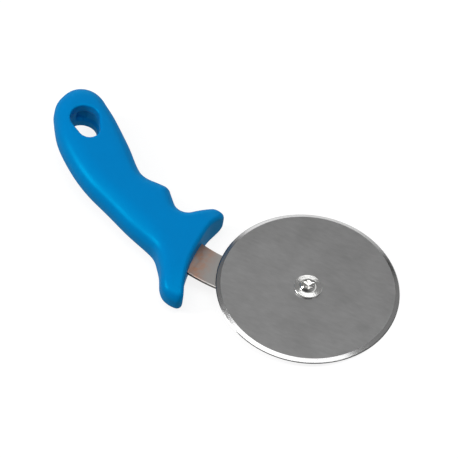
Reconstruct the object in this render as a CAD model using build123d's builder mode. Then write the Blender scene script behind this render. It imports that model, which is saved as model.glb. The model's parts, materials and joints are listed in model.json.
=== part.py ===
import os
from math import asin, atan2, cos, degrees, hypot, pi, radians, sin, sqrt

from build123d import *

os.makedirs("parts", exist_ok=True)

# A pizza wheel: a round blade that spins on a screwed pivot at the end of a curved steel shank,
# and a moulded handle with a finger guard. Lengths are in millimetres, angles in degrees.
#
# The tool is drawn in its own plane. There the origin is where the pivot axis meets the blade's
# upper face, x runs from the handle to the blade's far rim, and y to the finger groove side.
# The tool lies on a table, so that plane slopes down from the handle to the blade.

# Blade, ground on its upper side only
blade_diameter = 100.0
blade_thickness = 1.5
bevel_width = 2.35
edge_land = 0.15

# Shank, one punched blank that follows an arc from the pivot into the handle
shank_thickness = 2.0
shank_width = 20.8
shank_arc_radius = 88.5
shank_entry_offset = 7.4
shoulder_depth = 6.0
tang_width = 13.0
tang_length = 34.0
lock_hole_diameter = 6.0
lock_hole_count = 2

# Pivot: a barrel nut from below, a button head screw from above
sleeve_diameter = 7.0
neck_diameter = 8.4
neck_across_flats = 7.3
post_head_diameter = 11.0
post_head_height = 1.3
post_head_round = 0.9
post_floor = 1.0
screw_diameter = 5.0
screw_head_diameter = 9.8
screw_head_height = 2.75
screw_head_rim = 0.4
screw_head_crown_diameter = 5.2
socket_diameter = 4.5
socket_waist_diameter = 3.3
socket_depth = 1.7
socket_lobes = 6
screw_tip_chamfer = 0.5

# Washers
cover_washer_diameter = 15.3
cover_washer_thickness = 0.8
cover_washer_chamfer = 0.25
rear_thrust_washer_diameter = 15.0
rear_thrust_washer_thickness = 0.5
front_thrust_washer_diameter = 14.0
front_thrust_washer_thickness = 0.3

# Fits and clearances
running_clearance = 0.05
end_play = 0.1
neck_clearance = 0.05
thread_clearance = 0.05
screw_bottom_clearance = 0.4
cut_overrun = 1.0

# Handle, moulded over the tang
handle_thickness = 19.0
handle_round = 5.7
guard_gap = 8.9
guard_bow = 4.9
guard_bow_radius = 86.0
guard_front_round = 2.4
guard_overrun = 14.0
finger_wing_radius = 6.3
finger_wing_setback = 5.3
finger_wing_reach = 25.0
finger_flank_heading = 222.3
finger_flank_run = 9.8
finger_groove_radius = 7.1
knuckle_heading = 130.5
knuckle_run = 8.1
knuckle_radius = 6.5
ledge_heading = 176.0
ledge_run = 7.5
ledge_radius = 12.0
butt_radius = 14.4
butt_setback = 96.1
butt_height = 53.6
back_curve_heading = -61.0
back_curve_run = 1.7
back_curve_radius = 92.0
back_flank_heading = -45.0
back_flank_setback = 24.0
back_flank_height = -14.9
back_flank_radius = 14.5
back_wing_radius = 9.5
back_wing_setback = 3.1
back_wing_reach = 40.2
wing_tip_thickness = 11.7
finger_wing_start = 9.5
back_wing_start = 13.5
wing_line_margin = 1.0
wing_contact_share = 0.56
hanging_hole_radius = 7.9
hanging_hole_setback = 92.5
hanging_hole_height = 47.9
hanging_hole_tip_radius = 6.0
hanging_hole_tip_setback = 87.6
hanging_hole_tip_height = 42.3
hanging_hole_round = 1.0

# Heights in the tool's plane, from the blade's upper face
blade_radius = blade_diameter / 2
shank_top = -blade_thickness - rear_thrust_washer_thickness
shank_bottom = shank_top - shank_thickness
sleeve_top = front_thrust_washer_thickness + end_play
cover_washer_top = sleeve_top + cover_washer_thickness
handle_middle = (shank_top + shank_bottom) / 2
handle_bottom = handle_middle - handle_thickness / 2
guard_front = -(blade_radius + guard_gap)


def bend_through(setback, height, heading, radius):
    # An arc that passes a point behind the guard's front on the given heading.
    # A swelling has a positive radius and a hollow a negative one.
    turn = radians(heading)
    centre = Vector(guard_front - setback - radius * sin(turn), height + radius * cos(turn))
    return centre, radius


def bend_around(setback, height, radius):
    # The same, given by its centre
    return Vector(guard_front - setback, height), radius


def bend_after(bend, heading, run, radius):
    # The same, at the end of a straight run that leaves another arc on the given heading
    centre, last_radius = bend
    turn = radians(heading)
    along = Vector(cos(turn), sin(turn)) * run
    across = Vector(-sin(turn), cos(turn)) * (radius - last_radius)
    return centre + along + across, radius


def outline(bends):
    # Straight runs joined by tangent arcs, counter-clockwise
    headings = []
    for (centre, radius), (next_centre, next_radius) in zip(bends, bends[1:] + bends[:1]):
        across = next_centre - centre
        headings.append(atan2(across.Y, across.X) - asin((next_radius - radius) / across.length))
    arcs = []
    for (centre, radius), heading_in, heading_out in zip(bends, headings[-1:] + headings[:-1], headings):
        turn = (heading_out - heading_in) % (2 * pi)
        if radius < 0:
            turn -= 2 * pi
        arc_headings = [heading_in, heading_in + turn / 2, heading_in + turn]
        arcs.append([centre + Vector(sin(a), -cos(a)) * radius for a in arc_headings])
    with BuildSketch() as plan:
        with BuildLine():
            for arc, next_arc in zip(arcs, arcs[1:] + arcs[:1]):
                ThreePointArc(*arc)
                Line(arc[-1], next_arc[0])
        make_face()
    return plan.sketch


butt = bend_around(butt_setback, butt_height, butt_radius)
back_curve = bend_after(butt, back_curve_heading, back_curve_run, back_curve_radius)
back_flank = bend_through(back_flank_setback, back_flank_height, back_flank_heading, -back_flank_radius)
back_wing = bend_around(back_wing_setback, back_wing_radius - back_wing_reach, back_wing_radius)
finger_wing = bend_around(finger_wing_setback, finger_wing_reach - finger_wing_radius, finger_wing_radius)
finger_groove = bend_after(finger_wing, finger_flank_heading, finger_flank_run, -finger_groove_radius)
knuckle = bend_after(finger_groove, knuckle_heading, knuckle_run, knuckle_radius)
ledge = bend_after(knuckle, ledge_heading, ledge_run, -ledge_radius)

# Each wing gets thinner on the outer side of a line from the guard's front to the hollow behind it
back_wing_line = (
    Vector(guard_front, -back_wing_start),
    Vector(guard_front - back_flank_setback, back_flank_height - wing_line_margin),
)
finger_wing_line = (
    Vector(guard_front, finger_wing_start),
    finger_groove[0] - Vector(0, finger_groove_radius - wing_line_margin),
)


def lengthened(wing, line):
    # The arc of a wing moved forward along the wing's line
    start, hollow = line
    centre, radius = wing
    return centre - (hollow - start).normalized() * guard_overrun, radius


# The guard's front is a shallow hollow, cut from wings that are drawn too long at first
back_corner = lengthened(back_wing, back_wing_line)
finger_corner = lengthened(finger_wing, finger_wing_line)
guard_hollow_centre = Vector(
    guard_front - guard_bow + guard_bow_radius, (finger_wing_reach - back_wing_reach) / 2
)

handle_plan = outline([
    butt, back_curve, back_flank, back_wing, back_corner, finger_corner, finger_wing, finger_groove, knuckle,
    ledge,
])

hanging_hole = bend_around(hanging_hole_setback, hanging_hole_height, hanging_hole_radius)
hanging_hole_tip = bend_around(hanging_hole_tip_setback, hanging_hole_tip_height, hanging_hole_tip_radius)

hanging_hole_plan = outline([hanging_hole, hanging_hole_tip])

# The tool lies on the blade's far rim and on the rounded lower edge of the guard, behind the
# thinned ends of its wings
wing_contact_run = guard_front_round + guard_bow * wing_contact_share - guard_front + blade_radius
wing_contact_drop = -(handle_bottom + guard_front_round) - blade_thickness
rest_tilt = degrees(
    atan2(wing_contact_drop, wing_contact_run)
    + asin(guard_front_round / hypot(wing_contact_drop, wing_contact_run))
)
tilt_cos = cos(radians(rest_tilt))
tilt_sin = sin(radians(rest_tilt))

# The model's origin is on the table, under the middle of the whole tool
plan_box = handle_plan.bounding_box()
butt_reach = (
    (plan_box.min.X + handle_round) * tilt_cos
    + (handle_bottom + handle_round) * tilt_sin
    - handle_round
)
rim_reach = blade_radius * tilt_cos + (edge_land - blade_thickness) * tilt_sin
pivot_point = Vector(
    -(butt_reach + rim_reach) / 2,
    -(plan_box.max.Y - blade_radius) / 2,
    blade_radius * tilt_sin + blade_thickness * tilt_cos,
)
tool_plane = Plane(pivot_point, x_dir=(tilt_cos, 0, -tilt_sin), z_dir=(tilt_sin, 0, tilt_cos))
section_plane = Plane(pivot_point, x_dir=tool_plane.x_dir, z_dir=-tool_plane.y_dir)
pivot_axis = Axis(pivot_point, tool_plane.z_dir)
tool_axis = Axis(pivot_point, tool_plane.x_dir)


def level(height):
    return tool_plane.offset(height)


# The shank's arc runs from the pivot through the middle of its slot in the guard
shank_entry = Vector(guard_front - guard_bow, -shank_entry_offset)
half_chord = shank_entry.length / 2
arc_rise = sqrt(shank_arc_radius**2 - half_chord**2)
chord_heading = shank_entry.normalized()
arc_centre = shank_entry / 2 + Vector(chord_heading.Y, -chord_heading.X) * arc_rise
pivot_angle = degrees(atan2(-arc_centre.Y, -arc_centre.X))
entry_angle = degrees(atan2(shank_entry.Y - arc_centre.Y, shank_entry.X - arc_centre.X))


def arc_angle(depth):
    # Where the shank's arc is at a depth behind the guard's front face
    return entry_angle - degrees(depth / shank_arc_radius)


def arc_point(depth):
    turn = radians(arc_angle(depth))
    return arc_centre + Vector(cos(turn), sin(turn)) * shank_arc_radius


def curved_bar(width, depth):
    # A bar of even width along the arc, from the pivot to a depth inside the handle
    sweep = arc_angle(depth) - pivot_angle
    with BuildSketch() as plan:
        with BuildLine():
            inner = CenterArc(arc_centre, shank_arc_radius - width / 2, pivot_angle, sweep)
            outer = CenterArc(arc_centre, shank_arc_radius + width / 2, pivot_angle, sweep)
            Line(inner @ 0, outer @ 0)
            Line(inner @ 1, outer @ 1)
        make_face()
    return plan.sketch


with BuildSketch() as shank_blank:
    add(curved_bar(shank_width, shoulder_depth))
    add(curved_bar(tang_width, tang_length))
    Circle(shank_width / 2)
    with Locations(arc_point(tang_length)):
        Circle(tang_width / 2)
    for hole in range(lock_hole_count):
        hole_share = (hole + 1) / lock_hole_count
        with Locations(arc_point(shoulder_depth + (tang_length - shoulder_depth) * hole_share)):
            Circle(lock_hole_diameter / 2, mode=Mode.SUBTRACT)


def along_tool(direction):
    return tool_plane.from_local_coords(direction) - tool_plane.origin


def wing_relief(wing, line):
    # What is cut from both faces of a wing. It starts flat at the wing's line, and an arc leads
    # down to the tip's thickness.
    start, hollow = line
    centre, radius = wing
    along = (hollow - start).normalized()
    outward = Vector(along.Y, -along.X)
    if outward.dot(centre - start) < 0:
        outward = -outward
    reach = outward.dot(centre - start) + radius
    fall = (handle_thickness - wing_tip_thickness) / 2
    arc_radius = (reach**2 + fall**2) / (2 * fall)
    arc_sweep = degrees(asin((reach + cut_overrun) / arc_radius))
    corner = start - along * (guard_overrun + radius)
    wing_plane = Plane(
        tool_plane.from_local_coords(Vector(corner.X, corner.Y, handle_middle)),
        x_dir=along_tool(outward),
        z_dir=along_tool(along),
    )
    with BuildPart() as relief:
        with BuildSketch(wing_plane):
            with BuildLine():
                arc = CenterArc((0, handle_thickness / 2 - arc_radius), arc_radius, 90, -arc_sweep)
                clear_height = handle_thickness / 2 + cut_overrun
                Polyline(arc @ 1, ((arc @ 1).X, clear_height), (0, clear_height), arc @ 0)
            make_face()
            mirror(about=Plane.XZ)
        extrude(amount=(hollow - corner).length)
    return relief.part


def rim_edges(faces):
    # The edges that only one of these faces has, so not the lines between them
    edges = [edge for face in faces for edge in face.edges()]
    return [edge for edge in edges if sum(edge.is_same(other) for other in edges) == 1]


finger_wing_relief = wing_relief(finger_wing, finger_wing_line)
back_wing_relief = wing_relief(back_wing, back_wing_line)

with BuildPart() as handle:
    with BuildSketch(level(handle_bottom)):
        add(handle_plan)
    extrude(amount=handle_thickness)
    add(finger_wing_relief, mode=Mode.SUBTRACT)
    add(back_wing_relief, mode=Mode.SUBTRACT)
    broad_faces = [f for f in handle.faces() if abs(f.normal_at().dot(tool_plane.z_dir)) > cos(pi / 4)]
    fillet(rim_edges(broad_faces), handle_round)
    with BuildSketch(level(handle_bottom - cut_overrun)):
        with Locations(guard_hollow_centre):
            Circle(guard_bow_radius)
    extrude(amount=handle_thickness + 2 * cut_overrun, mode=Mode.SUBTRACT)
    fillet(handle.faces().sort_by(tool_axis)[-1].edges(), guard_front_round)
    with BuildSketch(level(handle_bottom - cut_overrun)):
        add(hanging_hole_plan)
    extrude(amount=handle_thickness + 2 * cut_overrun, mode=Mode.SUBTRACT)
    flat_faces = handle.faces().filter_by(pivot_axis).sort_by(pivot_axis)
    hole_rims = flat_faces[0].inner_wires() + flat_faces[-1].inner_wires()
    fillet([edge for rim in hole_rims for edge in rim.edges()], hanging_hole_round)
    with BuildSketch(level(shank_bottom)):
        add(shank_blank.sketch)
    extrude(amount=shank_thickness, mode=Mode.SUBTRACT)

handle.part.label = "handle"
export_step(handle.part, "parts/handle.step")


with BuildPart() as shank:
    with BuildSketch(level(shank_bottom)):
        add(shank_blank.sketch)
        with BuildSketch(mode=Mode.PRIVATE) as neck_hole:
            Circle(neck_diameter / 2 + neck_clearance)
            Rectangle(neck_diameter + cut_overrun, neck_across_flats + 2 * neck_clearance, mode=Mode.INTERSECT)
        add(neck_hole.sketch, mode=Mode.SUBTRACT)
    extrude(amount=shank_thickness)

shank.part.label = "shank"
export_step(shank.part, "parts/shank.step")


with BuildPart() as blade:
    with BuildSketch(section_plane):
        with BuildLine():
            bore_radius = sleeve_diameter / 2 + running_clearance
            Polyline(
                (bore_radius, -blade_thickness),
                (blade_radius, -blade_thickness),
                (blade_radius, edge_land - blade_thickness),
                (blade_radius - bevel_width, 0),
                (bore_radius, 0),
                close=True,
            )
        make_face()
    revolve(axis=pivot_axis)

blade.part.label = "blade"
export_step(blade.part, "parts/blade.step")


with BuildPart() as pivot_post:
    with BuildSketch(level(shank_bottom)):
        Circle(post_head_diameter / 2)
    extrude(amount=-post_head_height)
    fillet(pivot_post.faces().sort_by(pivot_axis)[0].edges(), post_head_round)
    with BuildSketch(level(shank_bottom)):
        Circle(neck_diameter / 2)
        Rectangle(neck_diameter + cut_overrun, neck_across_flats, mode=Mode.INTERSECT)
    extrude(amount=shank_thickness)
    with BuildSketch(level(shank_top)):
        Circle(sleeve_diameter / 2)
    extrude(amount=sleeve_top - shank_top)
    with BuildSketch(level(shank_bottom - post_head_height + post_floor)):
        Circle(screw_diameter / 2 + thread_clearance)
    extrude(amount=sleeve_top - shank_bottom + post_head_height, mode=Mode.SUBTRACT)

pivot_post.part.label = "pivot_post"
export_step(pivot_post.part, "parts/pivot_post.step")


with BuildPart() as pivot_screw:
    head_top = cover_washer_top + screw_head_height
    screw_tip = shank_bottom - post_head_height + post_floor + screw_bottom_clearance
    with BuildSketch(section_plane):
        with BuildLine():
            rim = (screw_head_diameter / 2, cover_washer_top + screw_head_rim)
            crown = (screw_head_crown_diameter / 2, head_top)
            Polyline(
                crown,
                (0, head_top),
                (0, screw_tip),
                (screw_diameter / 2 - screw_tip_chamfer, screw_tip),
                (screw_diameter / 2, screw_tip + screw_tip_chamfer),
                (screw_diameter / 2, cover_washer_top),
                (screw_head_diameter / 2, cover_washer_top),
                rim,
            )
            RadiusArc(rim, crown, -screw_head_diameter / 2)
        make_face()
    revolve(axis=pivot_axis)
    with BuildSketch(level(head_top)):
        Circle((socket_diameter + socket_waist_diameter) / 4)
        lobe_radius = (socket_diameter - socket_waist_diameter) / 2
        with PolarLocations(socket_diameter / 2 - lobe_radius, socket_lobes):
            Circle(lobe_radius)
        with PolarLocations(socket_waist_diameter / 2 + lobe_radius, socket_lobes, start_angle=180 / socket_lobes):
            Circle(lobe_radius, mode=Mode.SUBTRACT)
    extrude(amount=-socket_depth, mode=Mode.SUBTRACT)

pivot_screw.part.label = "pivot_screw"
export_step(pivot_screw.part, "parts/pivot_screw.step")


with BuildPart() as cover_washer:
    with BuildSketch(level(sleeve_top)):
        Circle(cover_washer_diameter / 2)
        Circle(screw_diameter / 2 + thread_clearance, mode=Mode.SUBTRACT)
    extrude(amount=cover_washer_thickness)
    washer_top = cover_washer.faces().sort_by(pivot_axis)[-1]
    chamfer(washer_top.outer_wire().edges(), cover_washer_chamfer)

cover_washer.part.label = "cover_washer"
export_step(cover_washer.part, "parts/cover_washer.step")


def thrust_washer(bottom, thickness, diameter):
    with BuildPart() as washer:
        with BuildSketch(level(bottom)):
            Circle(diameter / 2)
            Circle(sleeve_diameter / 2 + running_clearance, mode=Mode.SUBTRACT)
        extrude(amount=thickness)
    return washer


front_thrust_washer = thrust_washer(0, front_thrust_washer_thickness, front_thrust_washer_diameter)
front_thrust_washer.part.label = "front_thrust_washer"
export_step(front_thrust_washer.part, "parts/front_thrust_washer.step")

rear_thrust_washer = thrust_washer(shank_top, rear_thrust_washer_thickness, rear_thrust_washer_diameter)
rear_thrust_washer.part.label = "rear_thrust_washer"
export_step(rear_thrust_washer.part, "parts/rear_thrust_washer.step")
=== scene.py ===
import json
from math import cos, pi, radians, sin

import bmesh
import bpy
import numpy as np
from mathutils import Matrix, Vector


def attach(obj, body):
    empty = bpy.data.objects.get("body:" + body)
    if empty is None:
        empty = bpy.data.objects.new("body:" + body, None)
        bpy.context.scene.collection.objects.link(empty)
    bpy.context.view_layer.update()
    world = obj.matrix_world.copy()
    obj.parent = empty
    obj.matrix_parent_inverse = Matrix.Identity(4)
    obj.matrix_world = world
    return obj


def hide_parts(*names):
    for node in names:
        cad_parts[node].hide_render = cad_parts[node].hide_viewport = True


mm = 0.001
seam = 0.001 * mm  # points nearer than this become one

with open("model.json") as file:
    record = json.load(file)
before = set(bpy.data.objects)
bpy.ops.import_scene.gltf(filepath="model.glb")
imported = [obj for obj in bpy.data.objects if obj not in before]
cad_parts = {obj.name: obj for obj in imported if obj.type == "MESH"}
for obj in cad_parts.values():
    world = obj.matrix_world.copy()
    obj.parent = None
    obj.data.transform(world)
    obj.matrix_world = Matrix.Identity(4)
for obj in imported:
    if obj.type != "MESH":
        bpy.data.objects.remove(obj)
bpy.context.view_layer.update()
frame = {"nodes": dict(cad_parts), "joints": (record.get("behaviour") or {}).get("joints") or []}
nodes = frame["nodes"]
scene = bpy.context.scene
print("frame loaded:", len(nodes), "nodes")

# The tool's own axes: z along the pivot, x from the handle to the blade, heights from the blade's upper face
spin = frame["joints"][0]
toolZ = Vector(spin["axis"]).normalized()
toolY = Vector((0, 1, 0))
toolX = toolY.cross(toolZ)
toolTurn = Matrix((toolX, toolY, toolZ)).transposed()
toolMatrix = Matrix.Translation(spin["pos_m"]) @ toolTurn.to_4x4()
toolAxes = np.array(toolTurn)
toolOrigin = np.array(spin["pos_m"])


def toRow(points):
    return points @ toolAxes.T + toolOrigin


def toTool(points):
    return (points - toolOrigin) @ toolAxes


def hexColor(code):
    # an sRGB hex value as linear light
    channels = [int(code[i:i + 2], 16) / 255 for i in (1, 3, 5)]
    linear = [c / 12.92 if c <= 0.04045 else ((c + 0.055) / 1.055) ** 2.4 for c in channels]
    return (*linear, 1.0)


def addNode(tree, kind, inputs=None, **settings):
    # an input is set to a value, or linked to a socket or to a node's first output
    node = tree.nodes.new(kind)
    for name, value in settings.items():
        setattr(node, name, value)
    if kind == "GeometryNodeIndexSwitch":
        for extra in range(len(inputs) - 3):  # it starts with an index and two values
            node.index_switch_items.new()
    for key, value in (inputs or {}).items():
        if isinstance(value, bpy.types.Node):
            value = value.outputs[0]
        if isinstance(value, bpy.types.NodeSocket):
            tree.links.new(value, node.inputs[key])
        else:
            node.inputs[key].default_value = value
    return node


def newMaterial(name):
    material = bpy.data.materials.new(name)
    material.use_nodes = True
    material.node_tree.nodes.clear()
    return material, material.node_tree


def addObject(name, data):
    item = bpy.data.objects.new(name, data)
    scene.collection.objects.link(item)
    return item


# Camera: a long lens, above the blade's side
cameraView = {
    "azimuth": 21.38,  # degrees
    "elevation": 51.29,
    "roll": 0.87,
    "distance": 9.0,
    "widthInView": 0.24797,  # across the picture, at the tool
    "middle": (0.00631, 0.00939, 0.010),
    "sensorWidth": 36,  # in millimetres, as the lens is
    "clip": (0.1, 50),
}


def makeCamera(values):
    a, e, r = (radians(values[key]) for key in ("azimuth", "elevation", "roll"))
    back = Vector((sin(a) * cos(e), -cos(a) * cos(e), sin(e)))
    level = Vector((cos(a), sin(a), 0))
    right = level * cos(r) + back.cross(level) * sin(r)
    up = back.cross(right)
    data = bpy.data.cameras.new("camera")
    data.sensor_width = values["sensorWidth"]
    data.lens = data.sensor_width * values["distance"] / values["widthInView"]
    data.clip_start, data.clip_end = values["clip"]
    camera = addObject("camera", data)
    place = Vector(values["middle"]) + back * values["distance"]
    camera.matrix_world = Matrix.Translation(place) @ Matrix((right, up, back)).transposed().to_4x4()
    scene.camera = camera


makeCamera(cameraView)
scene.view_settings.view_transform = "Standard"

# Studio: a pale floor, a grey dome that is darker toward the viewer, a white backdrop behind, soft lamps
studio = {
    "floorSize": 6.0,
    "floorColor": "#7C7C7C",
    "floorGlow": 0.84,  # what the eye and the steel see on top of the lit floor
    "domeLevel": 0.225,
    "frontLevel": 0.065,
    "frontStart": 0.1,  # the dome gets darker between these two, as parts of the way to the viewer's side
    "frontEnd": 0.75,
    "rightExtra": 0.1,  # and lighter between these two, to the right
    "rightStart": 0.15,
    "rightEnd": 0.6,
    "backdropLevel": 1.0,
    "backdropTop": 0.12,  # sine of the elevation where the white backdrop ends
    "backdropFade": 0.1,
    "flagDirection": (0.25, 0.955, 0.16),  # a small black card behind, which the bevel shows as a dark stretch
    "flagSize": 0.11,
    "flagFade": 0.03,
}
lamps = {
    "overhead": {"direction": (0.06, -0.11, 1.0), "distance": 1.5, "size": (2.0, 1.16), "power": 16.5},
    "left": {"direction": (-0.72, -0.33, 0.62), "distance": 1.4, "size": (0.42, 0.5), "power": 10.5},
    "back": {"direction": (-0.3, 0.9, 0.34), "distance": 1.8, "size": (1.2, 1.0), "power": 4},
}


def seenDirectly(tree):
    path = addNode(tree, "ShaderNodeLightPath")
    seen = path.outputs["Is Camera Ray"]
    for kind in ("Is Glossy Ray", "Is Transmission Ray"):
        seen = addNode(tree, "ShaderNodeMath", {0: seen, 1: path.outputs[kind]}, operation="MAXIMUM")
    return seen


def makeFloor(values):
    half = values["floorSize"] / 2
    mesh = bpy.data.meshes.new("floor")
    corners = [(-half, -half, 0), (half, -half, 0), (half, half, 0), (-half, half, 0)]
    mesh.from_pydata(corners, [], [(0, 1, 2, 3)])
    floor = addObject("floor", mesh)
    material, tree = newMaterial("paleStudioFloor")
    matte = addNode(tree, "ShaderNodeBsdfDiffuse", {"Color": hexColor(values["floorColor"])})
    strength = addNode(tree, "ShaderNodeMath", {
        0: seenDirectly(tree), 1: values["floorGlow"],
    }, operation="MULTIPLY")
    glow = addNode(tree, "ShaderNodeEmission", {"Strength": strength})
    both = addNode(tree, "ShaderNodeAddShader", {0: matte, 1: glow})
    addNode(tree, "ShaderNodeOutputMaterial", {"Surface": both})
    mesh.materials.append(material)


def makeWorld(values):
    world = bpy.data.worlds.new("studio")
    world.use_nodes = True
    tree = world.node_tree
    tree.nodes.clear()
    direction = addNode(tree, "ShaderNodeTexCoord").outputs["Generated"]
    parts = addNode(tree, "ShaderNodeSeparateXYZ", {0: direction}).outputs
    front = addNode(tree, "ShaderNodeMapRange", {
        "Value": parts["Y"], "From Min": -values["frontStart"], "From Max": -values["frontEnd"],
        "To Min": values["domeLevel"], "To Max": values["frontLevel"],
    }, interpolation_type="SMOOTHSTEP")
    right = addNode(tree, "ShaderNodeMapRange", {
        "Value": parts["X"], "From Min": values["rightStart"], "From Max": values["rightEnd"],
        "To Max": values["rightExtra"],
    }, interpolation_type="SMOOTHSTEP")
    dome = addNode(tree, "ShaderNodeMath", {0: front, 1: right}, operation="ADD")
    low = addNode(tree, "ShaderNodeMapRange", {
        "Value": parts["Z"], "From Min": values["backdropTop"] - values["backdropFade"],
        "From Max": values["backdropTop"] + values["backdropFade"], "To Min": 1.0, "To Max": 0.0,
    }, interpolation_type="SMOOTHSTEP")
    shown = addNode(tree, "ShaderNodeMath", {0: low, 1: seenDirectly(tree)}, operation="MULTIPLY")
    level = addNode(tree, "ShaderNodeMapRange", {
        "Value": shown, "To Min": dome, "To Max": values["backdropLevel"],
    })
    away = addNode(tree, "ShaderNodeVectorMath", {
        0: direction, 1: Vector(values["flagDirection"]).normalized(),
    }, operation="DISTANCE").outputs["Value"]
    beside = addNode(tree, "ShaderNodeMapRange", {
        "Value": away, "From Min": values["flagSize"] - values["flagFade"],
        "From Max": values["flagSize"] + values["flagFade"],
    }, interpolation_type="SMOOTHSTEP")
    direct = addNode(tree, "ShaderNodeLightPath").outputs["Is Camera Ray"]
    beside = addNode(tree, "ShaderNodeMath", {0: beside, 1: direct}, operation="MAXIMUM")
    level = addNode(tree, "ShaderNodeMath", {0: level, 1: beside}, operation="MULTIPLY")
    light = addNode(tree, "ShaderNodeBackground", {"Color": (1, 1, 1, 1), "Strength": level})
    addNode(tree, "ShaderNodeOutputWorld", {"Surface": light})
    scene.world = world


def makeLamps(table):
    for name, values in table.items():
        data = bpy.data.lights.new(name, "AREA")
        data.shape = "RECTANGLE"
        data.size, data.size_y = values["size"]
        data.energy = values["power"]
        lamp = addObject(name, data)
        direction = Vector(values["direction"]).normalized()
        lamp.location = direction * values["distance"]
        lamp.rotation_mode = "QUATERNION"
        lamp.rotation_quaternion = direction.to_track_quat("Z", "Y")


makeFloor(studio)
makeWorld(studio)
makeLamps(lamps)
print("camera, floor and lamps set")

# Materials
plastic = {
    "color": "#0077BA", "cloudColor": "#0071B3",
    "clouds": 60.0,  # to a metre
    "ior": 1.49, "sheen": "#00D8FF",
    "gloss": 0.15, "bodyRoughness": 0.65,
    "skinRoughness": 0.36, "mostSheen": 0.05,
    "grain": 0.35 * mm, "grainDepth": 0.02 * mm, "grainStrength": 0.12,
}
rolled = {
    "color": "#C8C8C8", "darkColor": "#B0B0B0", "roughness": 0.32,
    "streak": 2.0 * mm,  # rolling marks are finer, and are drawn this coarse so that they show
    "streakRun": 0.3,  # their scale along the way they run
    "streakTurn": 55.0,  # degrees
    "streakDepth": 0.02 * mm, "streakStrength": 0.1,
    "patch": 16 * mm,
    "streakShare": 0.45,  # of the pattern, and the rest is patches
    "tintRange": (0.3, 0.7),
}
ground = {
    # the honed edge's dark colour is painted shade, the shade line along the cutting edge
    "color": "#BCBCBC", "edgeShadeColor": "#6C6C6C", "honedFrom": 49.64 * mm, "roughness": 0.2,
    "markPitch": 0.5 * mm,  # grinding marks are finer, and are drawn this coarse so that they show
    "markDepth": 0.05 * mm, "markStrength": 0.5,
}
punched = {
    "color": "#B4B1AE", "tintColor": "#C79E88", "roughness": 0.42,
    "tintStart": -50 * mm, "tintEnd": -60 * mm,  # the brown tint deepens toward the guard
    "patch": 3.0 * mm, "patchRange": (0.35, 0.6), "leastTint": 0.35,
}
# dark as painted shade of the shank's side walls, and rough as shear-cut steel is
shearedShade = {"color": "#5E5A57", "roughness": 0.55}
turned = {"color": "#E4E4E2", "roughness": 0.2}
polished = {"color": "#DCDCDA", "roughness": 0.12}
# a real nylon washer, black as painted shade: the dark line under the cover washer
nylon = {"color": "#161616", "roughness": 0.6, "ior": 1.53}


def toolPlace(tree):
    # the tool's own coordinates of a point, whatever body it rides
    place = addNode(tree, "ShaderNodeTexCoord").outputs["Object"]
    return addNode(tree, "ShaderNodeMapping", {
        "Vector": place, "Location": spin["pos_m"], "Rotation": toolTurn.to_euler(),
    }, vector_type="TEXTURE")


def distanceFromPivot(tree):
    parts = addNode(tree, "ShaderNodeSeparateXYZ", {0: toolPlace(tree)}).outputs
    flat = addNode(tree, "ShaderNodeCombineXYZ", {0: parts["X"], 1: parts["Y"]})
    return addNode(tree, "ShaderNodeVectorMath", {0: flat}, operation="LENGTH").outputs["Value"]


def mouldedPolypropylene(values):
    # polypropylene from a finely eroded mould: an even blue with a soft sheen of its own colour
    material, tree = newMaterial("mouldedPolypropylene")
    place = addNode(tree, "ShaderNodeTexCoord").outputs["Object"]
    cloud = addNode(tree, "ShaderNodeTexNoise", {"Vector": place, "Scale": values["clouds"], "Detail": 3.0})
    tint = addNode(tree, "ShaderNodeMix", {
        0: cloud.outputs["Fac"], 6: hexColor(values["cloudColor"]), 7: hexColor(values["color"]),
    }, data_type="RGBA").outputs[2]
    grain = addNode(tree, "ShaderNodeTexNoise", {"Vector": place, "Scale": 1 / values["grain"], "Detail": 2.0})
    bump = addNode(tree, "ShaderNodeBump", {
        "Height": grain.outputs["Fac"], "Strength": values["grainStrength"], "Distance": values["grainDepth"],
    })
    body = addNode(tree, "ShaderNodeBsdfPrincipled", {
        "Base Color": tint, "Roughness": values["bodyRoughness"], "IOR": values["ior"],
        "Specular IOR Level": values["gloss"], "Specular Tint": hexColor(values["sheen"]), "Normal": bump,
    })
    skin = addNode(tree, "ShaderNodeBsdfAnisotropic", {
        "Color": hexColor(values["sheen"]), "Roughness": values["skinRoughness"], "Normal": bump,
    })
    # the eroded skin is too rough to turn into a mirror when it is seen along the surface
    share = addNode(tree, "ShaderNodeFresnel", {"IOR": values["ior"], "Normal": bump})
    share = addNode(tree, "ShaderNodeMath", {0: share, 1: values["mostSheen"]}, operation="MINIMUM")
    surface = addNode(tree, "ShaderNodeMixShader", {0: share, 1: body, 2: skin})
    addNode(tree, "ShaderNodeOutputMaterial", {"Surface": surface})
    return material


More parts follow.
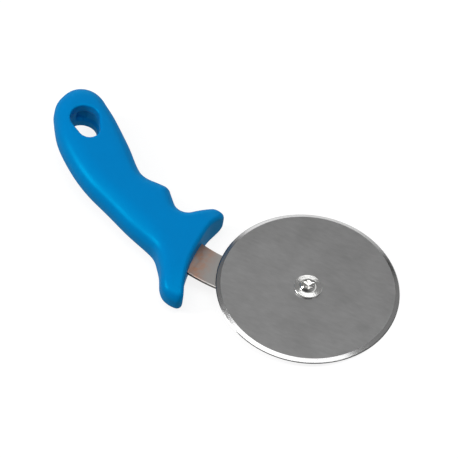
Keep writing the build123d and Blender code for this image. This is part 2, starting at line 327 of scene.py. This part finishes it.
def rolledStainless(values):
    # cold rolled sheet: a grey mirror blurred by fine marks that all run one way, with cloudy patches
    material, tree = newMaterial("rolledStainless")
    place = addNode(tree, "ShaderNodeTexCoord").outputs["Object"]
    along = addNode(tree, "ShaderNodeMapping", {
        "Vector": place, "Rotation": (0, 0, radians(values["streakTurn"])),
        "Scale": (values["streakRun"], 1.0, 1.0),
    })
    streaks = addNode(tree, "ShaderNodeTexNoise", {
        "Vector": along, "Scale": 1 / values["streak"], "Detail": 3.0, "Roughness": 0.6,
    }).outputs["Fac"]
    patches = addNode(tree, "ShaderNodeTexNoise", {
        "Vector": place, "Scale": 1 / values["patch"], "Detail": 2.0,
    }).outputs["Fac"]
    both = addNode(tree, "ShaderNodeMix", {0: values["streakShare"], 2: patches, 3: streaks})
    low, high = values["tintRange"]
    share = addNode(tree, "ShaderNodeMapRange", {"Value": both, "From Min": low, "From Max": high})
    tint = addNode(tree, "ShaderNodeMix", {
        0: share, 6: hexColor(values["darkColor"]), 7: hexColor(values["color"]),
    }, data_type="RGBA").outputs[2]
    bump = addNode(tree, "ShaderNodeBump", {
        "Height": streaks, "Strength": values["streakStrength"], "Distance": values["streakDepth"],
    })
    surface = addNode(tree, "ShaderNodeBsdfPrincipled", {
        "Base Color": tint, "Metallic": 1.0, "Roughness": values["roughness"], "Normal": bump,
    })
    addNode(tree, "ShaderNodeOutputMaterial", {"Surface": surface})
    return material


def groundStainless(values):
    # ground edge: brighter than the sheet, with fine marks that run round the rim, and painted dark on the
    # honed edge as the shade line of the cutting edge
    material, tree = newMaterial("groundStainless")
    radius = distanceFromPivot(tree)
    marks = addNode(tree, "ShaderNodeTexNoise", {
        "W": radius, "Scale": 1 / values["markPitch"], "Detail": 2.0,
    }, noise_dimensions="1D")
    bump = addNode(tree, "ShaderNodeBump", {
        "Height": marks.outputs["Fac"], "Strength": values["markStrength"], "Distance": values["markDepth"],
    })
    # painted shade: the honed edge is drawn dark, as the shade line along the cutting edge
    honed = addNode(tree, "ShaderNodeMath", {0: radius, 1: values["honedFrom"]}, operation="GREATER_THAN")
    tint = addNode(tree, "ShaderNodeMix", {
        0: honed, 6: hexColor(values["color"]), 7: hexColor(values["edgeShadeColor"]),
    }, data_type="RGBA").outputs[2]
    surface = addNode(tree, "ShaderNodeBsdfPrincipled", {
        "Base Color": tint, "Metallic": 1.0, "Roughness": values["roughness"], "Normal": bump,
    })
    addNode(tree, "ShaderNodeOutputMaterial", {"Surface": surface})
    return material


def punchedStainless(values):
    # punched steel strip: the same grey as the blade, with a brown tint in patches near the guard
    material, tree = newMaterial("punchedStainless")
    place = toolPlace(tree)
    depth = addNode(tree, "ShaderNodeSeparateXYZ", {0: place}).outputs["X"]
    nearGuard = addNode(tree, "ShaderNodeMapRange", {
        "Value": depth, "From Min": values["tintStart"], "From Max": values["tintEnd"],
    }, interpolation_type="SMOOTHSTEP")
    patches = addNode(tree, "ShaderNodeTexNoise", {
        "Vector": place, "Scale": 1 / values["patch"], "Detail": 3.0,
    })
    low, high = values["patchRange"]
    spread = addNode(tree, "ShaderNodeMapRange", {
        "Value": patches.outputs["Fac"], "From Min": low, "From Max": high, "To Min": values["leastTint"],
    })
    share = addNode(tree, "ShaderNodeMath", {0: nearGuard, 1: spread}, operation="MULTIPLY")
    tint = addNode(tree, "ShaderNodeMix", {
        0: share, 6: hexColor(values["color"]), 7: hexColor(values["tintColor"]),
    }, data_type="RGBA").outputs[2]
    surface = addNode(tree, "ShaderNodeBsdfPrincipled", {
        "Base Color": tint, "Metallic": 1.0, "Roughness": values["roughness"],
    })
    addNode(tree, "ShaderNodeOutputMaterial", {"Surface": surface})
    return material


def plainSteel(name, values):
    # steel that was turned, polished or cut by the shear: the turned and polished look comes from their form;
    # the shear-cut steel is rough, and its dark colour is painted shade on the shank's side walls
    material, tree = newMaterial(name)
    surface = addNode(tree, "ShaderNodeBsdfPrincipled", {
        "Base Color": hexColor(values["color"]), "Metallic": 1.0, "Roughness": values["roughness"],
    })
    addNode(tree, "ShaderNodeOutputMaterial", {"Surface": surface})
    return material


def punchedNylon(values):
    # punched nylon sheet, dull: its black is painted shade, the shade line between the steel parts
    material, tree = newMaterial("punchedNylon")
    surface = addNode(tree, "ShaderNodeBsdfPrincipled", {
        "Base Color": hexColor(values["color"]), "Roughness": values["roughness"], "IOR": values["ior"],
    })
    addNode(tree, "ShaderNodeOutputMaterial", {"Surface": surface})
    return material


bluePlastic = mouldedPolypropylene(plastic)
bladeSteel = rolledStainless(rolled)
bevelSteel = groundStainless(ground)
armSteel = punchedStainless(punched)
shadedEdgeSteel = plainSteel("shearedShadeStainless", shearedShade)
washerSteel = plainSteel("turnedStainless", turned)
screwSteel = plainSteel("polishedStainless", polished)
shadeBlackNylon = punchedNylon(nylon)

for name, material in {
    "pivot_post": washerSteel, "front_thrust_washer": shadeBlackNylon, "rear_thrust_washer": shadeBlackNylon,
}.items():
    nodes[name].data.materials.clear()
    nodes[name].data.materials.append(material)
print("materials made")

sharpAngles = {"blade": 8, "washer": 40, "screw": 35, "shank": 20}  # degrees, past which an edge stays crisp


def shadeSmooth(item, sharpAngle):
    item.data.shade_smooth()
    item.data.set_sharp_from_angle(angle=radians(sharpAngle))


def bakeModifiers(item):
    graph = bpy.context.evaluated_depsgraph_get()
    mesh = bpy.data.meshes.new_from_object(item.evaluated_get(graph))
    mesh.name = item.name
    item.modifiers.clear()
    item.data = mesh
    return item


def mergedCopy(name, node):
    # the solid's mesh with its faces joined, because it comes as separate faces
    shape = bmesh.new()
    shape.from_mesh(node.data)
    bmesh.ops.remove_doubles(shape, verts=shape.verts, dist=seam)
    mesh = bpy.data.meshes.new(name)
    shape.to_mesh(mesh)
    shape.free()
    return mesh


def newTree(name, sizes):
    # a geometry tree with a named input for each size
    tree = bpy.data.node_groups.new(name, "GeometryNodeTree")
    tree.is_modifier = True
    kinds = {int: "NodeSocketInt", float: "NodeSocketFloat", Vector: "NodeSocketVector"}
    tree.interface.new_socket("Geometry", in_out="INPUT", socket_type="NodeSocketGeometry")
    tree.interface.new_socket("Geometry", in_out="OUTPUT", socket_type="NodeSocketGeometry")
    for label, value in sizes.items():
        tree.interface.new_socket(label, in_out="INPUT", socket_type=kinds[type(value)])
    return tree, addNode(tree, "NodeGroupInput").outputs


def bakeTree(name, tree, sizes):
    item = addObject(name, bpy.data.meshes.new(name))
    modifier = item.modifiers.new("form", "NODES")
    modifier.node_group = tree
    for socket in tree.interface.items_tree:
        if socket.in_out == "INPUT" and socket.name in sizes:
            modifier[socket.identifier] = sizes[socket.name]
    return bakeModifiers(item)


# Blade: a turned disc, ground on its upper side
bladeSizes = {
    "Segments": 256,
    "Radius": 50.0 * mm,
    "Bore Radius": 3.55 * mm,
    "Thickness": 1.5 * mm,
    "Bevel Width": 2.5 * mm,
    "Honed Width": 0.35 * mm,  # the sharpened edge is a second, steeper bevel
    "Honed Height": 0.3 * mm,
    "Edge Land": 0.1 * mm,
}
bevelFacing = (0.66, 0.98)  # cosines between which a face leans as the ground bevels do
upright = {"Place": Vector(spin["pos_m"]), "Turn": Vector(toolTurn.to_euler())}


def turnGrid(tree, sizes, columns, profile):
    # A grid whose rows become circles round the z axis. The profile is a function that gives the
    # radius and the height for the column number and the angle.
    around = addNode(tree, "ShaderNodeMath", {0: sizes["Segments"], 1: 1.0}, operation="ADD")
    grid = addNode(tree, "GeometryNodeMeshGrid", {"Vertices X": around, "Vertices Y": columns})
    index = addNode(tree, "GeometryNodeInputIndex")
    row = addNode(tree, "ShaderNodeMath", {0: index, 1: columns}, operation="DIVIDE")
    row = addNode(tree, "ShaderNodeMath", {0: row}, operation="FLOOR")
    column = addNode(tree, "ShaderNodeMath", {0: index, 1: columns}, operation="MODULO")
    share = addNode(tree, "ShaderNodeMath", {0: row, 1: sizes["Segments"]}, operation="DIVIDE")
    angle = addNode(tree, "ShaderNodeMath", {0: share, 1: 2 * pi}, operation="MULTIPLY")
    radius, height = profile(column, angle)
    ray = addNode(tree, "ShaderNodeCombineXYZ", {0: radius, 2: height})
    placed = addNode(tree, "ShaderNodeVectorRotate", {"Vector": ray, "Angle": angle}, rotation_type="Z_AXIS")
    moved = addNode(tree, "GeometryNodeSetPosition", {"Geometry": grid, "Position": placed})
    closed = addNode(tree, "GeometryNodeMergeByDistance", {"Geometry": moved, "Distance": seam})
    turn = addNode(tree, "FunctionNodeEulerToRotation", {0: sizes["Turn"]})
    return addNode(tree, "GeometryNodeTransform", {
        "Geometry": closed, "Translation": sizes["Place"], "Rotation": turn,
    })


def makeBlade(sizes):
    tree, given = newTree("groundDisc", {**sizes, **upright})
    bore, rim = given["Bore Radius"], given["Radius"]
    inner = addNode(tree, "ShaderNodeMath", {0: rim, 1: given["Bevel Width"]}, operation="SUBTRACT")
    honed = addNode(tree, "ShaderNodeMath", {0: rim, 1: given["Honed Width"]}, operation="SUBTRACT")
    bottom = addNode(tree, "ShaderNodeMath", {0: given["Thickness"], 1: -1.0}, operation="MULTIPLY")
    land = addNode(tree, "ShaderNodeMath", {0: bottom, 1: given["Edge Land"]}, operation="ADD")
    honedTop = addNode(tree, "ShaderNodeMath", {0: land, 1: given["Honed Height"]}, operation="ADD")
    radii = [bore, rim, rim, honed, inner, bore, bore]
    heights = [bottom, bottom, land, honedTop, 0.0, 0.0, bottom]

    def profile(column, angle):
        return [
            addNode(tree, "GeometryNodeIndexSwitch", dict(enumerate([column, *values])), data_type="FLOAT")
            for values in (radii, heights)
        ]

    disc = turnGrid(tree, given, len(radii), profile)
    level = addNode(tree, "ShaderNodeVectorMath", {
        0: addNode(tree, "GeometryNodeInputNormal"), 1: tuple(toolZ),
    }, operation="DOT_PRODUCT").outputs["Value"]
    steepest, flattest = bevelFacing
    steep = addNode(tree, "ShaderNodeMath", {0: level, 1: steepest}, operation="GREATER_THAN")
    flat = addNode(tree, "ShaderNodeMath", {0: level, 1: flattest}, operation="LESS_THAN")
    onBevel = addNode(tree, "FunctionNodeBooleanMath", {0: steep, 1: flat}, operation="AND")
    whole = addNode(tree, "GeometryNodeRealizeInstances", {0: disc})
    sheet = addNode(tree, "GeometryNodeSetMaterial", {"Geometry": whole, "Material": bladeSteel})
    ring = addNode(tree, "GeometryNodeSetMaterial", {
        "Geometry": sheet, "Selection": onBevel, "Material": bevelSteel,
    })
    addNode(tree, "NodeGroupOutput", {0: ring})
    item = bakeTree("bladeDisc", tree, {**sizes, **upright})
    shadeSmooth(item, sharpAngles["blade"])
    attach(item, "wheel")
    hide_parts("blade")
    print("blade made:", len(item.data.polygons), "faces")


makeBlade(bladeSizes)


# Cover washer: turned, with the fine rings that the cutter leaves on its face
washerSizes = {
    "Segments": 96,
    "Radius": 7.65 * mm,
    "Bore Radius": 2.6 * mm,
    "Bottom": 0.4 * mm,
    "Thickness": 0.8 * mm,
    "Chamfer": 0.15 * mm,
    "Seat Radius": 4.9 * mm,  # flat under the screw's head, sloping down outside it
    "Slope Drop": 0.15 * mm,
    "Ring Pitch": 0.65 * mm,
    "Ring Depth": 0.075 * mm,
}


def makeWasher(sizes, columns=64):
    firstRing = 3  # the columns before it are the underside and the rim
    tree, given = newTree("turnedWasher", {**sizes, **upright})
    bore, rim, bottom = given["Bore Radius"], given["Radius"], given["Bottom"]
    top = addNode(tree, "ShaderNodeMath", {0: bottom, 1: given["Thickness"]}, operation="ADD")
    brim = addNode(tree, "ShaderNodeMath", {0: top, 1: given["Slope Drop"]}, operation="SUBTRACT")
    shoulder = addNode(tree, "ShaderNodeMath", {0: brim, 1: given["Chamfer"]}, operation="SUBTRACT")
    face = addNode(tree, "ShaderNodeMath", {0: rim, 1: given["Chamfer"]}, operation="SUBTRACT")

    def profile(column, angle):
        # underside and rim, then the rings, and the last column closes the bore
        ringRadius = addNode(tree, "ShaderNodeMapRange", {
            "Value": column, "From Min": firstRing, "From Max": columns - 2, "To Min": face, "To Max": bore,
        })
        inward = addNode(tree, "ShaderNodeMath", {0: face, 1: ringRadius}, operation="SUBTRACT")
        count = addNode(tree, "ShaderNodeMath", {0: inward, 1: given["Ring Pitch"]}, operation="DIVIDE")
        phase = addNode(tree, "ShaderNodeMath", {0: count, 1: 2 * pi}, operation="MULTIPLY")
        wave = addNode(tree, "ShaderNodeMath", {0: phase}, operation="COSINE")
        dip = addNode(tree, "ShaderNodeMapRange", {
            "Value": wave, "From Min": 1.0, "From Max": -1.0, "To Max": given["Ring Depth"],
        })
        slope = addNode(tree, "ShaderNodeMapRange", {
            "Value": ringRadius, "From Min": given["Seat Radius"], "From Max": face,
            "To Min": top, "To Max": brim,
        })
        ringHeight = addNode(tree, "ShaderNodeMath", {0: slope, 1: dip}, operation="SUBTRACT")
        onRings = addNode(tree, "ShaderNodeMath", {0: column, 1: firstRing - 0.5}, operation="GREATER_THAN")
        atEnd = addNode(tree, "ShaderNodeMath", {0: column, 1: columns - 1.5}, operation="GREATER_THAN")
        part = addNode(tree, "ShaderNodeMath", {0: onRings, 1: atEnd}, operation="ADD")
        sockets = []
        for early, rings, end in (
            ([bore, rim, rim], ringRadius, bore), ([bottom, bottom, shoulder], ringHeight, bottom),
        ):
            first = addNode(
                tree, "GeometryNodeIndexSwitch", dict(enumerate([column, *early])), data_type="FLOAT",
            )
            sockets.append(addNode(tree, "GeometryNodeIndexSwitch", {
                0: part, 1: first, 2: rings, 3: end,
            }, data_type="FLOAT"))
        return sockets

    ring = turnGrid(tree, given, columns, profile)
    whole = addNode(tree, "GeometryNodeRealizeInstances", {0: ring})
    done = addNode(tree, "GeometryNodeSetMaterial", {"Geometry": whole, "Material": washerSteel})
    addNode(tree, "NodeGroupOutput", {0: done})
    item = bakeTree("turnedWasher", tree, {**sizes, **upright})
    shadeSmooth(item, sharpAngles["washer"])
    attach(item, "holder")
    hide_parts("cover_washer")
    print("cover washer made:", len(item.data.polygons), "faces")


makeWasher(washerSizes)


# Screw: a raised head with a six-lobe socket, its floor left by the punch as a shallow cone
screwSizes = {
    "Segments": 96,
    "Shaft Radius": 2.5 * mm,
    "Tip": -3.9 * mm,
    "Tip Chamfer": 0.5 * mm,
    "Head Bottom": 1.2 * mm,
    "Head Height": 3.25 * mm,  # of the whole dome, before the socket takes its top
    "Head Radius": 4.9 * mm,
    "Head Power": 1.5,  # 2 is round, less is nearer to a cone
    "Crown Radius": 3.5 * mm,
    "Socket Radius": 2.85 * mm,
    "Lobes": 6,
    "Lobe Height": 0.4 * mm,
    "Socket Depth": 0.55 * mm,
    "Socket Cone": 0.9 * mm,
    "Socket Tip": 0.2 * mm,
    "Socket Turn": radians(51.4),
    "Lip": 0.12 * mm,
}


def makeScrew(sizes, domeColumns=14):
    shaftColumns, socketColumns = 4, 5  # as many as the outline's lists below hold
    tree, given = newTree("panHeadScrew", {**sizes, **upright})
    shaft, tip, seat, head = (given[key] for key in ("Shaft Radius", "Tip", "Head Bottom", "Head Radius"))
    socketRadius, socketCone, socketTip = (
        given[key] for key in ("Socket Radius", "Socket Cone", "Socket Tip")
    )
    tipRadius = addNode(tree, "ShaderNodeMath", {0: shaft, 1: given["Tip Chamfer"]}, operation="SUBTRACT")
    tipTop = addNode(tree, "ShaderNodeMath", {0: tip, 1: given["Tip Chamfer"]}, operation="ADD")
    # the dome follows powers of a cosine and a sine, from its rim to the turn where the crown begins
    flatness = addNode(tree, "ShaderNodeMath", {0: 2.0, 1: given["Head Power"]}, operation="DIVIDE")
    sharpness = addNode(tree, "ShaderNodeMath", {0: 1.0, 1: flatness}, operation="DIVIDE")
    crownShare = addNode(tree, "ShaderNodeMath", {0: given["Crown Radius"], 1: head}, operation="DIVIDE")
    crownCosine = addNode(tree, "ShaderNodeMath", {0: crownShare, 1: sharpness}, operation="POWER")
    crownTurn = addNode(tree, "ShaderNodeMath", {0: crownCosine}, operation="ARCCOSINE")

    def domeHeight(turn):
        rise = addNode(tree, "ShaderNodeMath", {0: turn}, operation="SINE")
        rise = addNode(tree, "ShaderNodeMath", {0: rise, 1: flatness}, operation="POWER")
        return addNode(tree, "ShaderNodeMath", {
            0: rise, 1: given["Head Height"], 2: seat,
        }, operation="MULTIPLY_ADD")

    def profile(column, angle):
        # the shaft's columns, then the dome's, then the socket's
        onDome = addNode(tree, "ShaderNodeMath", {0: column, 1: shaftColumns}, operation="SUBTRACT")
        share = addNode(tree, "ShaderNodeMath", {
            0: onDome, 1: domeColumns - 1,
        }, operation="DIVIDE", use_clamp=True)
        turn = addNode(tree, "ShaderNodeMath", {0: share, 1: crownTurn}, operation="MULTIPLY")
        reach = addNode(tree, "ShaderNodeMath", {0: turn}, operation="COSINE")
        reach = addNode(tree, "ShaderNodeMath", {0: reach, 1: flatness}, operation="POWER")
        domeRadius = addNode(tree, "ShaderNodeMath", {0: reach, 1: head}, operation="MULTIPLY")
        phase = addNode(tree, "ShaderNodeMath", {0: angle, 1: given["Socket Turn"]}, operation="SUBTRACT")
        phase = addNode(tree, "ShaderNodeMath", {0: phase, 1: given["Lobes"]}, operation="MULTIPLY")
        wave = addNode(tree, "ShaderNodeMath", {0: phase}, operation="COSINE")
        socket = addNode(tree, "ShaderNodeMath", {
            0: wave, 1: given["Lobe Height"], 2: socketRadius,
        }, operation="MULTIPLY_ADD")
        crown = domeHeight(crownTurn)
        lip = addNode(tree, "ShaderNodeMath", {0: socket, 1: given["Lip"]}, operation="ADD")
        lipBottom = addNode(tree, "ShaderNodeMath", {0: crown, 1: given["Lip"]}, operation="SUBTRACT")
        floor = addNode(tree, "ShaderNodeMath", {0: crown, 1: given["Socket Depth"]}, operation="SUBTRACT")
        cone = addNode(tree, "ShaderNodeMath", {0: floor, 1: socketCone}, operation="SUBTRACT")
        slope = addNode(tree, "ShaderNodeMath", {0: socketCone, 1: socketRadius}, operation="DIVIDE")
        nearTip = addNode(tree, "ShaderNodeMath", {0: socketTip, 1: slope, 2: cone}, operation="MULTIPLY_ADD")
        late = addNode(tree, "ShaderNodeMath", {0: onDome, 1: domeColumns}, operation="SUBTRACT")
        pastShaft = addNode(tree, "ShaderNodeMath", {0: onDome, 1: -0.5}, operation="GREATER_THAN")
        pastDome = addNode(tree, "ShaderNodeMath", {0: late, 1: -0.5}, operation="GREATER_THAN")
        part = addNode(tree, "ShaderNodeMath", {0: pastShaft, 1: pastDome}, operation="ADD")
        sockets = []
        for early, dome, ending in (
            ([0.0, tipRadius, shaft, shaft], domeRadius, [lip, socket, socket, socketTip, 0.0]),
            ([tip, tip, tipTop, seat], domeHeight(turn), [crown, lipBottom, floor, nearTip, cone]),
        ):
            first = addNode(
                tree, "GeometryNodeIndexSwitch", dict(enumerate([column, *early])), data_type="FLOAT",
            )
            last = addNode(
                tree, "GeometryNodeIndexSwitch", dict(enumerate([late, *ending])), data_type="FLOAT",
            )
            sockets.append(addNode(tree, "GeometryNodeIndexSwitch", {
                0: part, 1: first, 2: dome, 3: last,
            }, data_type="FLOAT"))
        return sockets

    solid = turnGrid(tree, given, shaftColumns + domeColumns + socketColumns, profile)
    whole = addNode(tree, "GeometryNodeRealizeInstances", {0: solid})
    done = addNode(tree, "GeometryNodeSetMaterial", {"Geometry": whole, "Material": screwSteel})
    addNode(tree, "NodeGroupOutput", {0: done})
    item = bakeTree("panHeadScrew", tree, {**sizes, **upright})
    shadeSmooth(item, sharpAngles["screw"])
    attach(item, "holder")
    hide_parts("pivot_screw")
    print("screw made:", len(item.data.polygons), "faces")


makeScrew(screwSizes)


# Shank: the punched blank with its edges broken
shankSizes = {
    "edgeWidth": 0.4 * mm,
    "edgeSteps": 2,
    "edgeAngle": 50,  # degrees, past which an edge is broken
    "edgeLevel": 0.1,  # below this slope a face is a side wall cut by the shear, drawn dark as painted shade
}


def makeShank(sizes):
    item = addObject("shankPlate", mergedCopy("shankPlate", nodes["shank"]))
    item.data.materials.clear()
    item.data.materials.append(armSteel)
    item.data.materials.append(shadedEdgeSteel)
    bevel = item.modifiers.new("brokenEdges", "BEVEL")
    bevel.width = sizes["edgeWidth"]
    bevel.segments = sizes["edgeSteps"]
    bevel.limit_method = "ANGLE"
    bevel.angle_limit = radians(sizes["edgeAngle"])
    bakeModifiers(item)
    # the side walls take the dark steel, whose colour is painted shade
    for face in item.data.polygons:
        face.material_index = int(abs(face.normal.dot(toolZ)) < sizes["edgeLevel"])
    shadeSmooth(item, sharpAngles["shank"])
    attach(item, "holder")
    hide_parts("shank")
    print("shank made:", len(item.data.polygons), "faces")


makeShank(shankSizes)


# Handle: the moulding's outer skin, with the soft section and slight swell of the real one
grip = {
    "voxel": 0.5 * mm,
    "cadRound": 5.7 * mm,
    "reach": 10.5 * mm,  # how far the soft rounding runs in from the side
    "power": 2.3,  # 2 is an ellipse, more is squarer
    "sweepSteps": 400,
    "swell": 2.5 * mm,  # how far the parting line stands out, at most
    "across": (0.26, -0.97),  # the way it swells most, across the grip
    "swellShares": (0.2, 0.8, 0.3),  # its least share, what is added across, and how soon
    "back": (0.57, 0.82),  # the way from the grip's back toward its finger side
    "roundingShares": (0.75, 0.25),  # its mean, and what that way adds
    "sectionHeight": -0.5 * mm,  # clear of the tang's pocket and of the rounding
    "pocket": (-4.0 * mm, -2.0 * mm),
    "pocketMargin": 0.02 * mm,
    "wallMargin": 0.1 * mm,
    "trims": (  # where the real outline runs further out, or in: place along and across, reach, step
        ((-146 * mm, 68 * mm), 9 * mm, -1.25 * mm), ((-170.5 * mm, 60 * mm), 6 * mm, -0.95 * mm),
        ((-111 * mm, 34 * mm), 10 * mm, -1.2 * mm), ((-159.5 * mm, 32 * mm), 10 * mm, 0.6 * mm),
        ((-104 * mm, -7 * mm), 12 * mm, 0.6 * mm), ((-71.5 * mm, -34 * mm), 7 * mm, 1.35 * mm),
        ((-61 * mm, 26 * mm), 6 * mm, 0.6 * mm), ((-59.5 * mm, -36 * mm), 6 * mm, 0.5 * mm),
        ((-60 * mm, 11 * mm), 6 * mm, -0.7 * mm), ((-83 * mm, -18 * mm), 6 * mm, 0.5 * mm),
    ),
    "trimFade": (2 * mm, 8 * mm),  # in from the outline
    "guardEnd": 12 * mm,  # behind the guard's front
    "gripStart": 40 * mm,
    "softenPasses": 24,
    "softenSteps": (0.5, -0.53),  # in and out by turns, so that the form keeps its size
}


def sectionLoops(node, height):
    # where a plane across the pivot cuts the solid: closed loops in the tool's plane, longest first
    cut = bmesh.new()
    cut.from_mesh(mergedCopy("section", node))
    bmesh.ops.bisect_plane(
        cut, geom=cut.verts[:] + cut.edges[:] + cut.faces[:], plane_co=toolMatrix @ Vector((0, 0, height)),
        plane_no=toolZ, clear_inner=True, clear_outer=True,
    )
    bmesh.ops.remove_doubles(cut, verts=cut.verts, dist=seam)
    loops = []
    left = set(cut.verts)
    while left:
        vert = min(left, key=lambda v: v.index)
        loop = []
        while vert:
            loop.append(vert)
            left.discard(vert)
            vert = next((e.other_vert(vert) for e in vert.link_edges if e.other_vert(vert) in left), None)
        flat = toTool(np.array([v.co[:] for v in loop]))[:, :2]
        after = np.roll(flat, -1, 0)
        if (flat[:, 0] * after[:, 1] - flat[:, 1] * after[:, 0]).sum() < 0:
            flat = flat[::-1]
        loops.append(flat)
    cut.free()
    return sorted(loops, key=lambda loop: -np.ptp(loop, 0).sum())


def nearOutline(loop, points, blockSize=4000):
    # for each point: how far inside a counter-clockwise loop it is, the way inward and the nearest place
    run = np.roll(loop, -1, 0) - loop
    length = np.hypot(*run.T)
    inward = np.stack([-run[:, 1], run[:, 0]], 1) / length[:, None]
    corner = inward + np.roll(inward, 1, 0)
    corner /= np.hypot(*corner.T)[:, None]
    nextCorner = np.roll(corner, -1, 0)
    depth = np.empty(len(points))
    facing = np.empty((len(points), 2))
    spot = np.empty((len(points), 2))
    for first in range(0, len(points), blockSize):
        block = slice(first, first + blockSize)
        offset = points[block][:, None] - loop[None]
        share = np.clip((offset * run).sum(2) / length**2, 0, 1)
        gap = offset - share[..., None] * run
        best = np.argmin((gap**2).sum(2), 1)
        rows = np.arange(len(best))
        part = share[rows, best][:, None]
        aim = corner[best] * (1 - part) + nextCorner[best] * part
        aim /= np.hypot(*aim.T)[:, None]
        depth[block] = (gap[rows, best] * aim).sum(1)
        facing[block] = aim
        spot[block] = loop[best] + part * run[best]
    return depth, facing, spot


def smoothStep(value, low, high):
    share = np.clip((value - low) / (high - low), 0, 1)
    return share * share * (3 - 2 * share)


def softShares(values, spot, facing, front):
    # rounding: full on the grip's back and butt, half on its finger side, none on the guard
    onGrip = smoothStep(front - spot[:, 0], values["guardEnd"], values["gripStart"])
    mean, lean = values["roundingShares"]
    rounding = mean + lean * facing @ np.array(values["back"])
    least, extra, knee = values["swellShares"]
    across = (facing @ np.array(values["across"])) ** 2
    swell = least + extra * across / (across + knee)
    return rounding * onGrip, swell * onGrip


def fillPocket(node, values, loops):
    # the tang's pocket is closed at the guard, because only the outer skin is wanted
    skin = bmesh.new()
    skin.from_mesh(mergedCopy("skin", node))
    skin.verts.index_update()
    place = toTool(np.array([v.co[:] for v in skin.verts]))
    low, high = values["pocket"]
    margin = values["pocketMargin"]
    level = (place[:, 2] > low - margin) & (place[:, 2] < high + margin)
    inside = []
    for face in skin.faces:
        corners = [v.index for v in face.verts]
        if level[corners].all():
            middle = place[corners].mean(0)[None, :2]
            if min(abs(nearOutline(loop, middle)[0][0]) for loop in loops) > values["wallMargin"]:
                inside.append(face)
    bmesh.ops.delete(skin, geom=inside, context="FACES")
    bmesh.ops.holes_fill(skin, edges=[e for e in skin.edges if e.is_boundary], sides=0)
    bmesh.ops.triangulate(skin, faces=[f for f in skin.faces if len(f.verts) > 3])
    mesh = bpy.data.meshes.new("handleGrip")
    skin.to_mesh(mesh)
    skin.free()
    return mesh


def soften(points, edges, passes, steps):
    # evens out the voxel steps without shrinking the form
    count = np.bincount(edges.ravel(), minlength=len(points))[:, None]
    for number in range(passes):
        total = np.zeros_like(points)
        for axis in range(3):
            total[:, axis] += np.bincount(edges[:, 0], points[edges[:, 1], axis], len(points))
            total[:, axis] += np.bincount(edges[:, 1], points[edges[:, 0], axis], len(points))
        points = points + (total / count - points) * steps[number % 2]
    return points


def makeGrip(values):
    node = nodes["handle"]
    loops = sectionLoops(node, values["sectionHeight"])
    outer = loops[0]
    front = outer[:, 0].max()
    item = addObject("handleGrip", fillPocket(node, values, loops))
    remesh = item.modifiers.new("voxels", "REMESH")
    remesh.mode = "VOXEL"
    remesh.voxel_size = values["voxel"]
    mesh = bakeModifiers(item).data
    points = np.empty(len(mesh.vertices) * 3)
    mesh.vertices.foreach_get("co", points)
    points = toTool(points.reshape(-1, 3))
    top, bottom = points[:, 2].max(), points[:, 2].min()
    middle = (top + bottom) / 2
    half = (top - bottom) / 2
    height = np.abs(points[:, 2] - middle)
    sign = np.sign(points[:, 2] - middle)
    depth, facing, spot = nearOutline(outer, points[:, :2])
    # the solid's section: a straight side, a quarter round and a flat
    r = values["cadRound"]
    wall = half - r
    turn = np.arctan2(height - wall, np.maximum(r - depth, 0))
    onRound = np.where(depth < r, wall + r * turn, wall + r * pi / 2 + depth - r)
    travel = np.where(height <= wall, height, onRound)
    # the soft section, walked in step with it
    sweep = np.linspace(0, pi / 2, values["sweepSteps"])
    crest = np.cos(sweep) ** (2 / values["power"])
    softDepth = values["reach"] * (1 - crest)
    softHeight = half * np.sin(sweep) ** (2 / values["power"])
    walked = np.concatenate([[0], np.cumsum(np.hypot(np.diff(softDepth), np.diff(softHeight)))])
    span = wall + r * pi / 2 + values["reach"] - r
    walked *= span / walked[-1]
    plainTurn = np.clip((travel - wall) / r, 0, pi / 2)
    onFlat = np.maximum(travel - wall - r * pi / 2, 0)
    plainDepth = np.where(travel <= wall, 0, r - r * np.cos(plainTurn) + onFlat)
    plainHeight = np.minimum(travel, wall) + r * np.sin(plainTurn)
    rounding, swell = softShares(values, spot, facing, front)
    shiftIn = (np.interp(travel, walked, softDepth) - plainDepth) * rounding
    shiftIn -= np.interp(travel, walked, crest) * swell * values["swell"]
    shiftUp = (np.interp(travel, walked, softHeight) - plainHeight) * rounding
    shiftIn, shiftUp = np.where(travel < span, (shiftIn, shiftUp), 0)
    # the outline's own corrections
    trim = sum(step * np.exp(-((spot - place)**2).sum(1) / reach**2) for place, reach, step in values["trims"])
    shiftIn -= trim * (1 - smoothStep(depth, *values["trimFade"]))
    points[:, :2] += facing * shiftIn[:, None]
    points[:, 2] += sign * shiftUp
    edges = np.empty(len(mesh.edges) * 2, dtype=np.int64)
    mesh.edges.foreach_get("vertices", edges)
    points = soften(toRow(points), edges.reshape(-1, 2), values["softenPasses"], values["softenSteps"])
    mesh.vertices.foreach_set("co", points.ravel())
    mesh.shade_smooth()
    mesh.materials.clear()
    mesh.materials.append(bluePlastic)
    mesh.update()
    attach(item, "holder")
    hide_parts("handle")
    print("handle grip made:", len(mesh.polygons), "faces")


makeGrip(grip)
